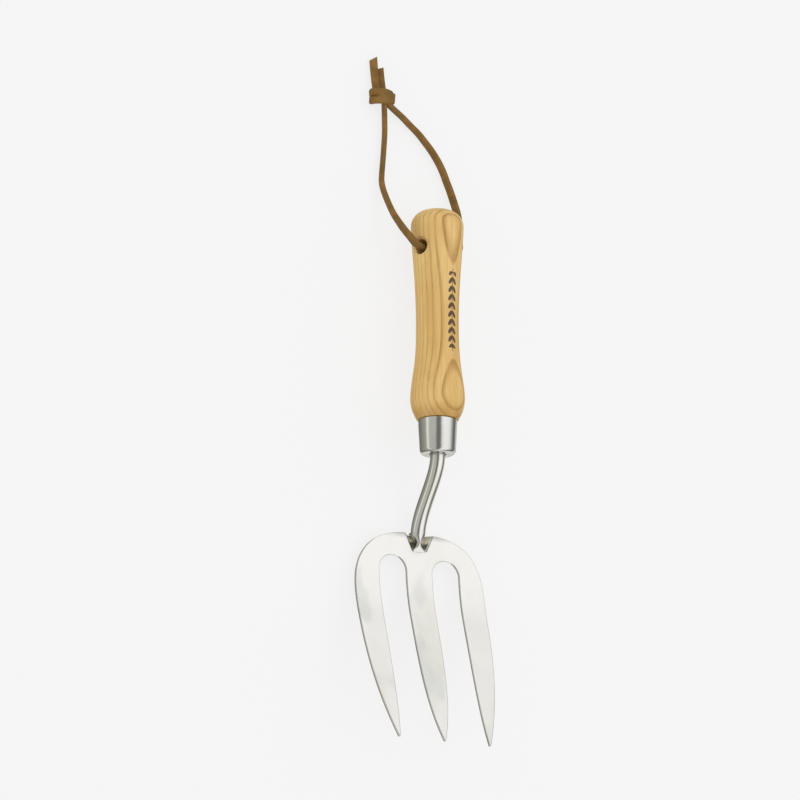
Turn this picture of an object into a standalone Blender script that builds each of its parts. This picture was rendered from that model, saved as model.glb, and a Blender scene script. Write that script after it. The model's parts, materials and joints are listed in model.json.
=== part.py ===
"""Hand fork: a pressed three-tine head on a swan-necked stem, whose tang sits in a turned ash
handle behind a steel ferrule. A knotted leather thong hangs in the handle's hole.

Metres. The pieces are drawn in the tool's own frame: the handle's axis along Y, the middle of
its butt at the origin, and the hollow side of the head facing +Z. The tool empty then lays them
on their backs, so that the butt and the heel of the head touch z = 0 and x = y = 0 is the
middle of the tool.
"""

from math import atan2, cos, pi, radians, sin

import bmesh
import bpy
from mathutils import Matrix, Vector
from mathutils.geometry import interpolate_bezier

GAP = 0.0003  # between pieces that touch
MERGE = 0.00005  # points of the head's pattern that lie this close are one point

# Handle: turned ash, its stations measured from the butt
BUTT_FLAT_RADIUS = 0.0063
BUTT_CORNER = 0.0095
WAIST_RADIUS = 0.0128
WAIST_AT = 0.070
PALM_RADIUS = 0.0162
PALM_AT = 0.1165
SHOULDER_RADIUS = 0.0121
HANDLE_LENGTH = 0.1292  # butt to the ferrule's rim
HANDLE_TURN = radians(16)  # how far the hanging hole is turned from square with the head
BUTT_SKEW = 0.75  # below 1, the swell falls away early
PALM_SKEW = 1.6  # above 1, the swell rises late

# Hanging hole, across the handle
HOLE_RADIUS = 0.0045
HOLE_AT = 0.0249

# Ferrule: a drawn steel cup over the handle's spigot
FERRULE_LENGTH = 0.0211
FERRULE_RIM_RADIUS = 0.0117
FERRULE_END_RADIUS = 0.0106
FERRULE_WALL = 0.0010
FERRULE_CORNER = 0.0030
SPIGOT_PLAY = 0.0011  # from the spigot's end to where the ferrule's corner starts

# Stem: one forging, with the tang in the handle, the swan neck, and the foot in the head
NECK_RADIUS = 0.0044
NECK_PLAY = 0.0005  # round the neck, in the ferrule's end
NECK_LEAD = 0.0140  # how long the neck keeps to the handle's axis before it swings back
NECK_RUN = 0.0155  # how early it turns into line with the head
NECK_RISE = 0.0018
TANG_RADIUS = 0.0036
TANG_TIP_RADIUS = 0.0024
TANG_LENGTH = 0.058  # inside the handle's bore
TANG_NOSE_LENGTH = 0.0015
TANG_NOSE_RADIUS = 0.0014
ADHESIVE_WALL = 0.0008

# Head: pressed plate, its stations measured along the surface from the top edge
HEAD_THICKNESS = 0.0018
HEAD_DROP = 0.0431  # from the ferrule's end down to the top edge
HEAD_SET_BACK = 0.0224  # from the handle's axis back to the middle of the plate
CROWN_LENGTH = 0.0168  # flat, in line with the handle
BEND_RADIUS = 0.115
TINE_SLOPE = radians(17.5)  # how far the tines lean forward
HEAD_LENGTH = 0.1337  # top edge to tips
HEAD_HALF_WIDTH = 0.0440
WIDEST_AT = 0.0420
SHOULDER_POWER = 2.75
TINE_SPACING = 0.0303  # between the points
TIP_RADIUS = 0.0007
SIDE_POWER = 2.45  # how late the outer tines curve in
MIDDLE_TINE_HALF_WIDTH = 0.0088
MIDDLE_POWER = 4.5
SLOT_RADIUS = 0.0092
SLOT_TOP = 0.0148
INNER_POWER = 6.0

# Trough: pressed back into the head's top edge to seat the stem's foot
TROUGH_LENGTH = 0.0115
TROUGH_HALF_WIDTH = 0.0098  # at the top edge, level with the plate
TROUGH_FLOOR = NECK_RADIUS + GAP  # half the width of its flat floor
FOOT_WAIST = 0.78  # of the neck's radius, half way down the foot
FOOT_TIP = 0.0004  # half the thickness of the foot's end

# Weld: a fillet bead that joins the neck to the trough's rim
WELD_LEG = 0.0012
WELD_SPREAD = radians(75)  # to each side of the middle of the back
WELD_END_SHARE = 0.35  # of the leg, at the bead's two ends

# Thong: one leather lace through the hole, its two ends knotted together. Each place is
# (x, y, z): x and y from the middle of the hole, z above what the tool lies on.
LACE_RADIUS = 0.0025  # half the lace's width
TAIL_RADIUS = 0.0020
LEFT_STRAND = (
    (-0.0003, 0.0000, 0.0170),
    (-0.0067, 0.0001, 0.0188),
    (-0.0135, 0.0003, 0.0208),
    (-0.0175, 0.0018, 0.0210),
    (-0.0202, 0.0050, 0.0200),
    (-0.0232, 0.0096, 0.0175),
    (-0.0256, 0.0149, 0.0142),
    (-0.0275, 0.0201, 0.0110),
    (-0.0289, 0.0253, 0.0084),
    (-0.0302, 0.0304, 0.0062),
    (-0.0314, 0.0355, 0.0044),
    (-0.0321, 0.0406, 0.0031),
    (-0.0321, 0.0457, 0.0028),
    (-0.0318, 0.0508, 0.0027),
    (-0.0314, 0.0608, 0.0027),
    (-0.0312, 0.0708, 0.0027),
    (-0.0317, 0.0790, 0.0029),
    (-0.0325, 0.0857, 0.0035),
)
RIGHT_STRAND = (
    (0.0003, 0.0000, 0.0168),
    (0.0067, 0.0000, 0.0150),
    (0.0126, 0.0005, 0.0134),
    (0.0168, 0.0023, 0.0121),
    (0.0197, 0.0055, 0.0100),
    (0.0210, 0.0098, 0.0078),
    (0.0214, 0.0150, 0.0061),
    (0.0213, 0.0205, 0.0052),
    (0.0208, 0.0249, 0.0048),
    (0.0199, 0.0291, 0.0045),
    (0.0182, 0.0337, 0.0044),
    (0.0165, 0.0385, 0.0039),
    (0.0147, 0.0433, 0.0034),
    (0.0126, 0.0480, 0.0030),
    (0.0105, 0.0527, 0.0028),
    (0.0079, 0.0573, 0.0027),
    (0.0046, 0.0618, 0.0027),
    (0.0008, 0.0662, 0.0027),
    (-0.0037, 0.0706, 0.0027),
    (-0.0082, 0.0747, 0.0027),
    (-0.0139, 0.0787, 0.0028),
    (-0.0194, 0.0825, 0.0032),
    (-0.0257, 0.0861, 0.0038),
)
LONG_TAIL = ((-0.0388, 0.0987, 0.0034), (-0.0399, 0.1075, 0.0026), (-0.0409, 0.1160, 0.0023))
SHORT_TAIL = ((-0.0344, 0.0987, 0.0034), (-0.0353, 0.1048, 0.0030), (-0.0360, 0.1105, 0.0028))
STRAND_POINTS = 16  # along each strand's tube
TAIL_POINTS = 4
KNOT_AT = (-0.0348, 0.0923, 0.0046)
KNOT_HALF_SIZE = (0.0092, 0.0060, 0.0044)

# Fineness of the round shapes
TURNED_SIDES = 40
ROD_SIDES = 20
BORE_SIDES = 28
CORNER_STEPS = 6
SWELL_STEPS = 22
EDGE_STEPS = 18
SLOT_STEPS = 16
TIP_STEPS = 6
BEND_STEPS = 8
NECK_STEPS = 14
FOOT_STEPS = 6
WELD_STEPS = 12


# ---------------------------------------------------------------- modelling helpers


def clear_scene():
    for item in list(bpy.data.objects):
        bpy.data.objects.remove(item)


def principled(name, colour, roughness, metallic=0.0):
    material = bpy.data.materials.new(name)
    material.use_nodes = True
    shader = material.node_tree.nodes["Principled BSDF"]
    shader.inputs["Base Color"].default_value = (*colour, 1.0)
    shader.inputs["Roughness"].default_value = roughness
    shader.inputs["Metallic"].default_value = metallic
    return material


def add_piece(name, shape, material, parent, smooth_below=radians(35)):
    """A named object made of a bmesh, shaded smooth, whose faces point outwards."""
    bmesh.ops.recalc_face_normals(shape, faces=shape.faces)
    mesh = bpy.data.meshes.new(name)
    shape.to_mesh(mesh)
    shape.free()
    mesh.shade_smooth()
    mesh.set_sharp_from_angle(angle=smooth_below)
    mesh.materials.append(material)
    piece = bpy.data.objects.new(name, mesh)
    bpy.context.scene.collection.objects.link(piece)
    piece.parent = parent
    return piece


def add_cutter(name, shape, parent):
    cutter = add_piece(name, shape, None, parent)
    cutter.hide_render = True
    cutter.display_type = "WIRE"
    return cutter


def cut(piece, cutter):
    boolean = piece.modifiers.new(cutter.name, "BOOLEAN")
    boolean.operation = "DIFFERENCE"
    boolean.object = cutter


def turned(profile, closed):
    """A solid of revolution about Y from (station, radius) pairs, stations counted from the butt.

    An open profile starts and ends on the axis, and a closed one makes a ring.
    """
    shape = bmesh.new()
    points = [shape.verts.new((radius, -station, 0)) for station, radius in profile]
    edges = [shape.edges.new(pair) for pair in zip(points, points[1:])]
    if closed:
        edges.append(shape.edges.new((points[-1], points[0])))
    bmesh.ops.spin(
        shape,
        geom=points + edges,
        cent=(0, 0, 0),
        axis=(0, 1, 0),
        angle=2 * pi,
        steps=TURNED_SIDES,
        use_merge=True,
    )
    bmesh.ops.remove_doubles(shape, verts=shape.verts, dist=1e-6)
    return shape


def lofted(rings):
    """A skin over a row of rings with equal counts of points, closed by a cap at each end."""
    shape = bmesh.new()
    rows = [[shape.verts.new(point) for point in ring] for ring in rings]
    for row, after in zip(rows, rows[1:]):
        for here in range(len(row)):
            there = (here + 1) % len(row)
            shape.faces.new((row[here], row[there], after[there], after[here]))
    shape.faces.new(rows[0])
    shape.faces.new(rows[-1])
    return shape


def arc(centre, radius, start, end, steps):
    """Points of an arc in a plane, from one angle to another."""
    turns = [start + (end - start) * step / steps for step in range(steps + 1)]
    return [(centre[0] + radius * cos(turn), centre[1] + radius * sin(turn)) for turn in turns]


# ---------------------------------------------------------------- handle


def butt_radius():
    return BUTT_FLAT_RADIUS + BUTT_CORNER


def handle_swell(station):
    """The turned radius between the butt's corner and the ferrule's rim."""
    if station < WAIST_AT:
        share = (station - BUTT_CORNER) / (WAIST_AT - BUTT_CORNER)
        ease = 0.5 - 0.5 * cos(pi * share**BUTT_SKEW)
        return butt_radius() + (WAIST_RADIUS - butt_radius()) * ease
    if station < PALM_AT:
        share = (station - WAIST_AT) / (PALM_AT - WAIST_AT)
        ease = 0.5 - 0.5 * cos(pi * share**PALM_SKEW)
        return WAIST_RADIUS + (PALM_RADIUS - WAIST_RADIUS) * ease
    share = (station - PALM_AT) / (HANDLE_LENGTH - PALM_AT)
    return PALM_RADIUS + (SHOULDER_RADIUS - PALM_RADIUS) * share**2


def spigot_end():
    return HANDLE_LENGTH + FERRULE_LENGTH - FERRULE_CORNER - SPIGOT_PLAY


def tang_tip():
    return spigot_end() - TANG_LENGTH


def spigot_radius(station):
    return ferrule_outside(station) - FERRULE_WALL - GAP


def bore_radius():
    return TANG_RADIUS + ADHESIVE_WALL + 2 * GAP


def handle_profile():
    corner_middle = (BUTT_CORNER, BUTT_FLAT_RADIUS)
    profile = [(0, 0)] + arc(corner_middle, BUTT_CORNER, pi, pi / 2, CORNER_STEPS)
    run = HANDLE_LENGTH - BUTT_CORNER
    for step in range(1, SWELL_STEPS + 1):
        station = BUTT_CORNER + run * step / SWELL_STEPS
        profile.append((station, handle_swell(min(station, HANDLE_LENGTH))))
    profile.append((HANDLE_LENGTH, spigot_radius(HANDLE_LENGTH)))
    profile.append((spigot_end(), spigot_radius(spigot_end())))
    profile.append((spigot_end(), 0))
    return profile


def cylinder_shape(radius, depth, place):
    shape = bmesh.new()
    bmesh.ops.create_cone(
        shape, cap_ends=True, segments=BORE_SIDES, radius1=radius, radius2=radius, depth=depth
    )
    bmesh.ops.transform(shape, matrix=place, verts=shape.verts)
    return shape


def across_handle():
    """Turns a shape's Z onto the hanging hole's axis, in the tool's frame."""
    return Matrix.Rotation(HANDLE_TURN, 4, "Y") @ Matrix.Rotation(pi / 2, 4, "Y")


def add_handle(wood, tool):
    handle = add_piece("handle", turned(handle_profile(), closed=False), wood, tool)

    bore_depth = TANG_LENGTH + 2 * GAP
    middle = Matrix.Translation((0, -(tang_tip() - GAP + bore_depth / 2), 0))
    bore = cylinder_shape(bore_radius(), bore_depth, middle @ Matrix.Rotation(pi / 2, 4, "X"))
    cut(handle, add_cutter("tang_bore_cutter", bore, tool))

    centre = Matrix.Translation((0, -HOLE_AT, 0))
    hole = cylinder_shape(HOLE_RADIUS, 4 * butt_radius(), centre @ across_handle())
    cut(handle, add_cutter("hanging_hole_cutter", hole, tool))
    return handle


# ---------------------------------------------------------------- ferrule


def ferrule_outside(station):
    share = (station - HANDLE_LENGTH) / FERRULE_LENGTH
    return FERRULE_RIM_RADIUS + (FERRULE_END_RADIUS - FERRULE_RIM_RADIUS) * share


def neck_hole_radius():
    return NECK_RADIUS + NECK_PLAY


def ferrule_profile():
    rim = HANDLE_LENGTH + GAP
    end = HANDLE_LENGTH + FERRULE_LENGTH
    corner_at = end - FERRULE_CORNER
    corner_middle = (corner_at, ferrule_outside(corner_at) - FERRULE_CORNER)
    outer_corner = arc(
        corner_middle, FERRULE_CORNER, pi / 2, 0, CORNER_STEPS
    )
    inner_corner = arc(
        corner_middle, FERRULE_CORNER - FERRULE_WALL, 0, pi / 2, CORNER_STEPS
    )
    outside = [(rim, ferrule_outside(rim))] + outer_corner + [(end, neck_hole_radius())]
    inside = [(end - FERRULE_WALL, neck_hole_radius())] + inner_corner
    return outside + inside + [(rim, ferrule_outside(rim) - FERRULE_WALL)]


# ---------------------------------------------------------------- head


def head_top():
    """Station of the head's top edge, counted from the butt along the handle."""
    return HANDLE_LENGTH + FERRULE_LENGTH + HEAD_DROP


def trough_depth_at_rim():
    """Deep enough for the whole neck to lie with its back on the floor."""
    plate_front = HEAD_SET_BACK - HEAD_THICKNESS / 2
    return foot_axis_depth() + NECK_RADIUS + GAP - plate_front


def foot_axis_depth():
    """How far behind the handle's axis the neck's centre is where it enters the trough."""
    return HEAD_SET_BACK + HEAD_THICKNESS / 2


def trough_depth(across, along):
    """How far the trough drops the plate at a place on its flat pattern."""
    left = 1 - along / TROUGH_LENGTH
    if left <= 0:
        return 0.0
    slope_run = TROUGH_HALF_WIDTH - TROUGH_FLOOR
    wall = (TROUGH_FLOOR + slope_run * left - abs(across)) / slope_run
    return trough_depth_at_rim() * max(0.0, min(left, wall))


def head_place(across, along, lift):
    """Where a place on the flat pattern goes, lift above the middle of the plate's thickness."""
    bend_length = BEND_RADIUS * TINE_SLOPE
    bent = min(max(along - CROWN_LENGTH, 0.0), bend_length)
    straight = max(along - CROWN_LENGTH - bend_length, 0.0)
    turn = bent / BEND_RADIUS
    down = min(along, CROWN_LENGTH) + BEND_RADIUS * sin(turn) + straight * cos(TINE_SLOPE)
    forward = BEND_RADIUS * (1 - cos(turn)) + straight * sin(TINE_SLOPE)
    lift -= trough_depth(across, along)
    return Vector((
        across,
        -(head_top() + down) + lift * sin(turn),
        -HEAD_SET_BACK + forward + lift * cos(turn),
    ))


def shoulder_edge():
    """The head's top edge, from the middle out and down to its widest place."""
    points = []
    for step in range(EDGE_STEPS + 1):
        turn = pi / 2 * step / EDGE_STEPS
        across = HEAD_HALF_WIDTH * sin(turn) ** (2 / SHOULDER_POWER)
        along = WIDEST_AT * (1 - cos(turn) ** (2 / SHOULDER_POWER))
        points.append((across, along))
    return points


def tine_edge(start, across, end_across, power):
    """One long side of a tine, from a station down to where its point is rounded."""
    points = []
    for step in range(1, EDGE_STEPS + 1):
        share = step / EDGE_STEPS
        along = start + (HEAD_LENGTH - TIP_RADIUS - start) * share
        points.append((across + (end_across - across) * share**power, along))
    return points


def half_outline():
    """The right half of the flat pattern, from the middle of the top edge to the middle point."""
    slot_middle = MIDDLE_TINE_HALF_WIDTH + SLOT_RADIUS
    slot_outside = slot_middle + SLOT_RADIUS
    slot_start = SLOT_TOP + SLOT_RADIUS
    tip_at = HEAD_LENGTH - TIP_RADIUS
    outer_tip = TINE_SPACING + TIP_RADIUS
    inner_tip = TINE_SPACING - TIP_RADIUS

    outline = shoulder_edge()
    outline += tine_edge(WIDEST_AT, HEAD_HALF_WIDTH, outer_tip, SIDE_POWER)
    outline += arc((TINE_SPACING, tip_at), TIP_RADIUS, 0, pi, TIP_STEPS)[1:-1]
    outline += tine_edge(slot_start, slot_outside, inner_tip, INNER_POWER)[::-1]
    outline += arc((slot_middle, slot_start), SLOT_RADIUS, 0, -pi, SLOT_STEPS)
    outline += tine_edge(slot_start, MIDDLE_TINE_HALF_WIDTH, TIP_RADIUS, MIDDLE_POWER)
    outline += arc((0, tip_at), TIP_RADIUS, 0, pi / 2, TIP_STEPS // 2)[1:]
    return outline


def flat_pattern():
    """The head's flat pattern as a sheet of faces, scored wherever it will be bent."""
    right = half_outline()
    left = [(-across, along) for across, along in right[-2:0:-1]]
    sheet = bmesh.new()
    sheet.faces.new([sheet.verts.new((across, along, 0)) for across, along in right + left])
    sheet.normal_update()
    bmesh.ops.triangulate(sheet, faces=sheet.faces)

    bend_length = BEND_RADIUS * TINE_SLOPE
    scores = [((0, TROUGH_LENGTH), (0, 1))]
    scores += [
        ((0, CROWN_LENGTH + bend_length * step / BEND_STEPS), (0, 1))
        for step in range(BEND_STEPS + 1)
    ]
    slope_run = TROUGH_HALF_WIDTH - TROUGH_FLOOR
    for side in (-1, 1):
        scores.append(((side * TROUGH_FLOOR, 0), (1, 0)))
        scores.append(((side * TROUGH_HALF_WIDTH, 0), (side * TROUGH_LENGTH, slope_run)))
    for (across, along), (normal_across, normal_along) in scores:
        bmesh.ops.bisect_plane(
            sheet,
            geom=sheet.verts[:] + sheet.edges[:] + sheet.faces[:],
            dist=MERGE,
            plane_co=(across, along, 0),
            plane_no=(normal_across, normal_along, 0),
        )
    bmesh.ops.remove_doubles(sheet, verts=sheet.verts, dist=MERGE)
    bmesh.ops.triangulate(sheet, faces=sheet.faces)
    return sheet


def pressed_plate(sheet):
    """The sheet at its full thickness, bent and pressed into shape."""
    shape = bmesh.new()
    half = HEAD_THICKNESS / 2
    front = [shape.verts.new(head_place(vert.co.x, vert.co.y, half)) for vert in sheet.verts]
    back = [shape.verts.new(head_place(vert.co.x, vert.co.y, -half)) for vert in sheet.verts]
    sheet.verts.index_update()
    for face in sheet.faces:
        corners = [vert.index for vert in face.verts]
        shape.faces.new([front[corner] for corner in corners])
        shape.faces.new([back[corner] for corner in reversed(corners)])
    for edge in sheet.edges:
        if len(edge.link_faces) == 1:
            one, two = (vert.index for vert in edge.verts)
            shape.faces.new((front[one], front[two], back[two], back[one]))
    sheet.free()
    return shape


# ---------------------------------------------------------------- stem


def neck_path():
    """The middle of the swan neck, as (station, depth behind the handle's axis)."""
    start = Vector((HANDLE_LENGTH + FERRULE_LENGTH, 0))
    end = Vector((head_top(), foot_axis_depth()))
    leave = start + Vector((NECK_LEAD, 0))
    arrive = end - Vector((NECK_RUN, NECK_RISE))
    return interpolate_bezier(start, leave, arrive, end, NECK_STEPS + 1)


def ring(station, depth, lean, half_width, half_height):
    """An elliptic section of the stem, square with a path that leans back by an angle."""
    points = []
    for side in range(ROD_SIDES):
        turn = 2 * pi * side / ROD_SIDES
        up = half_height * sin(turn)
        points.append((half_width * cos(turn), -station - up * sin(lean), -depth + up * cos(lean)))
    return points


def tang_rings():
    collar = HANDLE_LENGTH + FERRULE_LENGTH - FERRULE_WALL - GAP
    return [
        ring(station, 0, 0, radius, radius)
        for station, radius in (
            (tang_tip(), TANG_NOSE_RADIUS),
            (tang_tip() + TANG_NOSE_LENGTH, TANG_TIP_RADIUS),
            (spigot_end(), TANG_RADIUS),
            (collar, NECK_RADIUS),
        )
    ]


def neck_rings():
    path = neck_path()
    rings = []
    for here, point in enumerate(path):
        before = path[max(here - 1, 0)]
        after = path[min(here + 1, len(path) - 1)]
        lean = atan2(after.y - before.y, after.x - before.x)
        rings.append(ring(point.x, point.y, lean, NECK_RADIUS, NECK_RADIUS))
    return rings


def foot_rings():
    """The neck flattened into the trough: its back follows the floor, its front the plate."""
    plate_front = HEAD_SET_BACK - HEAD_THICKNESS / 2
    reach = 1 - 2 * (FOOT_TIP + GAP) / trough_depth_at_rim()
    rings = []
    for step in range(1, FOOT_STEPS + 1):
        share = reach * step / FOOT_STEPS
        floor = plate_front + trough_depth_at_rim() * (1 - share)
        front = foot_axis_depth() - NECK_RADIUS
        front += (plate_front - front) * sin(pi / 2 * share)
        half_height = (floor - GAP - front) / 2
        waist = 1 - (1 - FOOT_WAIST) * sin(pi * share)
        depth = front + half_height
        station = head_top() + TROUGH_LENGTH * share
        rings.append(ring(station, depth, 0, NECK_RADIUS * waist, half_height))
    return rings


def weld_rings():
    """A triangular bead round the back of the neck, on the trough's rim."""
    inner = NECK_RADIUS + 2 * GAP
    rim = head_top() - GAP
    rings = []
    for step in range(WELD_STEPS + 1):
        swing = WELD_SPREAD * (2 * step / WELD_STEPS - 1)
        turn = swing - pi / 2
        leg = WELD_LEG * (WELD_END_SHARE + (1 - WELD_END_SHARE) * cos(swing))
        corners = ((inner, rim), (inner + leg, rim), (inner, rim - leg))
        rings.append([
            (radius * cos(turn), -station, -foot_axis_depth() + radius * sin(turn))
            for radius, station in corners
        ])
    return rings


def adhesive_profile():
    """The resin sleeve that fills the bore round the tang."""
    outside = bore_radius() - GAP
    return [
        (tang_tip(), outside),
        (spigot_end(), outside),
        (spigot_end(), TANG_RADIUS + GAP),
        (tang_tip() + TANG_NOSE_LENGTH, TANG_TIP_RADIUS + GAP),
        (tang_tip(), TANG_TIP_RADIUS + GAP),
    ]


# ---------------------------------------------------------------- thong


def smooth_through(places, count):
    """Evenly counted points of a smooth curve through a list of places (Catmull-Rom)."""
    places = [Vector(place) for place in places]
    ends = [2 * places[0] - places[1]] + places + [2 * places[-1] - places[-2]]
    points = []
    for step in range(count):
        run = (len(places) - 1) * step / (count - 1)
        span = min(int(run), len(places) - 2)
        t = run - span
        before, start, end, after = ends[span : span + 4]
        points.append(
            start
            + (end - before) * (t / 2)
            + (before * 2 - start * 5 + end * 4 - after) * (t * t / 2)
            + (start * 3 - before - end * 3 + after) * (t**3 / 2)
        )
    return points


def add_lace(name, places, radius, count, leather, hinge):
    """A stretch of the lace, as a round tube from the first of its places to the last."""
    curve = bpy.data.curves.new(name, "CURVE")
    curve.dimensions = "3D"
    curve.bevel_depth = radius
    curve.bevel_resolution = 2
    curve.use_fill_caps = True
    curve.materials.append(leather)
    spline = curve.splines.new("POLY")
    spline.use_smooth = True
    points = smooth_through(places, count)
    spline.points.add(len(points) - 1)
    for node, point in zip(spline.points, points):
        node.co = (*from_hinge(point, hinge), 1.0)
    lace = bpy.data.objects.new(name, curve)
    bpy.context.scene.collection.objects.link(lace)
    lace.parent = hinge
    return lace


def from_hinge(place, hinge):
    """A place of the thong, moved from the surface under the hole up to the hole's middle."""
    return Vector(place) - Vector((0, 0, hinge.location.z))


def add_knot(leather, hinge):
    shape = bmesh.new()
    bmesh.ops.create_uvsphere(shape, u_segments=20, v_segments=12, radius=1.0)
    place = Matrix.Translation(from_hinge(KNOT_AT, hinge))
    size = Matrix.Diagonal((*KNOT_HALF_SIZE, 1.0))
    bmesh.ops.transform(shape, matrix=place @ size, verts=shape.verts)
    return add_piece("thong_knot", shape, leather, hinge)


def add_thong(leather, tool):
    """The knotted loop. It turns with the thong_hinge empty, about the hole's own axis."""
    bpy.context.view_layer.update()
    hinge = bpy.data.objects.new("thong_hinge", None)
    bpy.context.scene.collection.objects.link(hinge)
    hinge.location = tool.matrix_world @ Vector((0, -HOLE_AT, 0))
    add_lace("thong_left_strand", LEFT_STRAND, LACE_RADIUS, STRAND_POINTS, leather, hinge)
    add_lace("thong_right_strand", RIGHT_STRAND, LACE_RADIUS, STRAND_POINTS + 4, leather, hinge)
    add_knot(leather, hinge)
    add_lace("thong_long_tail", LONG_TAIL, TAIL_RADIUS, TAIL_POINTS, leather, hinge)
    add_lace("thong_short_tail", SHORT_TAIL, TAIL_RADIUS, TAIL_POINTS, leather, hinge)


# ---------------------------------------------------------------- laying the tool down


def lay_down(tool, handle, head):
    """Tilts and lifts the tool until the handle and the head both rest on z = 0."""
    bpy.context.view_layer.update()
    low, high = 0.0, radians(15)
    while high - low > 1e-9:
        tilt = (low + high) / 2
        turn = Matrix.Rotation(-tilt, 3, "X")
        handle_low = min((turn @ vert.co).z for vert in handle.data.vertices)
        head_low = min((turn @ vert.co).z for vert in head.data.vertices)
        if head_low < handle_low:
            low = tilt
        else:
            high = tilt
    tool.rotation_euler.x = -tilt
    butt = max((turn @ vert.co).y for vert in handle.data.vertices)
    tips = min((turn @ vert.co).y for vert in head.data.vertices)
    tool.location = (0, -(butt + tips) / 2, -head_low)


def build():
    clear_scene()
    wood = principled("ash", (0.62, 0.42, 0.20), 0.45)
    steel = principled("polished_steel", (0.80, 0.79, 0.75), 0.18, 1.0)
    resin = principled("resin", (0.55, 0.45, 0.28), 0.4)
    leather = principled("leather", (0.26, 0.15, 0.06), 0.6)

    tool = bpy.data.objects.new("tool", None)
    bpy.context.scene.collection.objects.link(tool)
    handle = add_handle(wood, tool)
    add_piece("ferrule", turned(ferrule_profile(), closed=True), steel, tool)
    head = add_piece("fork_head", pressed_plate(flat_pattern()), steel, tool)
    add_piece("neck_stem", lofted(tang_rings() + neck_rings() + foot_rings()), steel, tool)
    add_piece("head_weld", lofted(weld_rings()), steel, tool)
    add_piece("tang_adhesive", turned(adhesive_profile(), closed=True), resin, tool)
    lay_down(tool, handle, head)
    add_thong(leather, tool)


build()
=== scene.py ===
"""Looks of a hand fork: a polished three-tine head on a swan-necked stem, a turned ash handle
behind a steel ferrule, and a knotted leather thong through the handle's hole.

Metres. Shapes are drawn in the tool's own frame, with the handle's axis along Y, the middle of
its butt at the origin and the hollow side of the head facing +Z, and are then laid on the floor
as the record's butt mount says. The thong's places are counted from the middle of the hole.
"""

import json
from math import atan2, cos, pi, radians, sin, sqrt

import bpy
import numpy as np
from mathutils import Matrix, Vector
from mathutils.geometry import interpolate_bezier


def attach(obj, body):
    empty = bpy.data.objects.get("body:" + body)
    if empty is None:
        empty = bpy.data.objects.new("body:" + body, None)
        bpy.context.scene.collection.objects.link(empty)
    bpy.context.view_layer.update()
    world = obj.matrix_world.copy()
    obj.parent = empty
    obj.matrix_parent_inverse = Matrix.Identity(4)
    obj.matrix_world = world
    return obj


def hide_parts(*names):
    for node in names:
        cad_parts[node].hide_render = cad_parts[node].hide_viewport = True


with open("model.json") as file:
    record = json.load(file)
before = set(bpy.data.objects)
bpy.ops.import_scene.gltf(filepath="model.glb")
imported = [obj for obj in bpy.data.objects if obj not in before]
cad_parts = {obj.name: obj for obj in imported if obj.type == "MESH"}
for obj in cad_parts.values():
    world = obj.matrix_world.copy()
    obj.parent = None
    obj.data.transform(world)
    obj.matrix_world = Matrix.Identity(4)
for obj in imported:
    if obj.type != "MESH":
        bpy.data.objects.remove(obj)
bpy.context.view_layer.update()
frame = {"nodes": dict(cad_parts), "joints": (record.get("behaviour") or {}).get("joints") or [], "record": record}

GAP = 0.0003
MERGE = 0.000002
TURNED_SIDES = 128

# Handle: turned ash, its stations measured from the butt
BUTT_FLAT_RADIUS = 0.0063
BUTT_CORNER = 0.0095
WAIST_RADIUS = 0.0128
WAIST_AT = 0.070
PALM_RADIUS = 0.0162
PALM_AT = 0.1165
SHOULDER_RADIUS = 0.0121
HANDLE_LENGTH = 0.1292
HANDLE_TURN = radians(16)
BUTT_SKEW = 0.75
PALM_SKEW = 1.6
SHOULDER_ROUND = 0.0008
SPIGOT_LENGTH = 0.0170
BORE_RADIUS = 0.0050
BORE_LENGTH = 0.0583
HOLE_RADIUS = 0.0045
HOLE_AT = 0.0249
HOLE_ROUND = 0.0013
HOLE_SIDES = 64
HOLE_ROUND_STEPS = 8
HOLE_OVERCUT = 0.00002  # lifts the round rim clear of the handle's facets
SWELL_STEPS = 70

# Ferrule
FERRULE_LENGTH = 0.0211
FERRULE_RIM_RADIUS = 0.0117
FERRULE_END_RADIUS = 0.0106
FERRULE_WALL = 0.0010
FERRULE_CORNER = 0.0030
FERRULE_LIP = 0.0004
NECK_HOLE_RADIUS = 0.0049

# Stem
NECK_RADIUS = 0.0044
NECK_LEAD = 0.0140
NECK_RUN = 0.0155
NECK_RISE = 0.0018
TANG_RADIUS = 0.0036
TANG_TIP_RADIUS = 0.0024
TANG_POINT_RADIUS = 0.0014
TANG_POINT_LENGTH = 0.0015
TANG_LENGTH = 0.058
COLLAR_LENGTH = 0.0012  # where the tang widens to the neck
COLLAR_START_RADIUS = TANG_RADIUS + 0.0001
STEM_SIDES = 40
NECK_STEPS = 40

# Head: pressed plate, its stations measured along the surface from the top edge
HEAD_THICKNESS = 0.0018
HEAD_DROP = 0.0431
HEAD_SET_BACK = 0.0224
CROWN_LENGTH = 0.0168
BEND_RADIUS = 0.115
TINE_SLOPE = radians(17.5)
HEAD_LENGTH = 0.1337
HEAD_HALF_WIDTH = 0.0440
WIDEST_AT = 0.0420
SHOULDER_POWER = 2.75
TINE_SPACING = 0.0303
TIP_RADIUS = 0.0007
SIDE_POWER = 2.45
MIDDLE_TINE_HALF_WIDTH = 0.0088
MIDDLE_POWER = 4.5
SLOT_RADIUS = 0.0092
SLOT_TOP = 0.0148
INNER_POWER = 6.0
EDGE_ROUND = 0.00045
RIM_INSETS = (0.06, 0.19, 0.33, 0.42, 0.45)  # shares of the rounding, each inside the last
SCORE_SPACING = 0.0021
TROUGH_LENGTH = 0.0115
TROUGH_HALF_WIDTH = 0.0098
TROUGH_FLOOR = NECK_RADIUS + GAP
TROUGH_SOFTNESS = 0.00035
TROUGH_SPACING = 0.0006
TROUGH_MARGINS = (0.0012, 0.0020)  # of the finely scored part: at each side, and below
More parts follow.
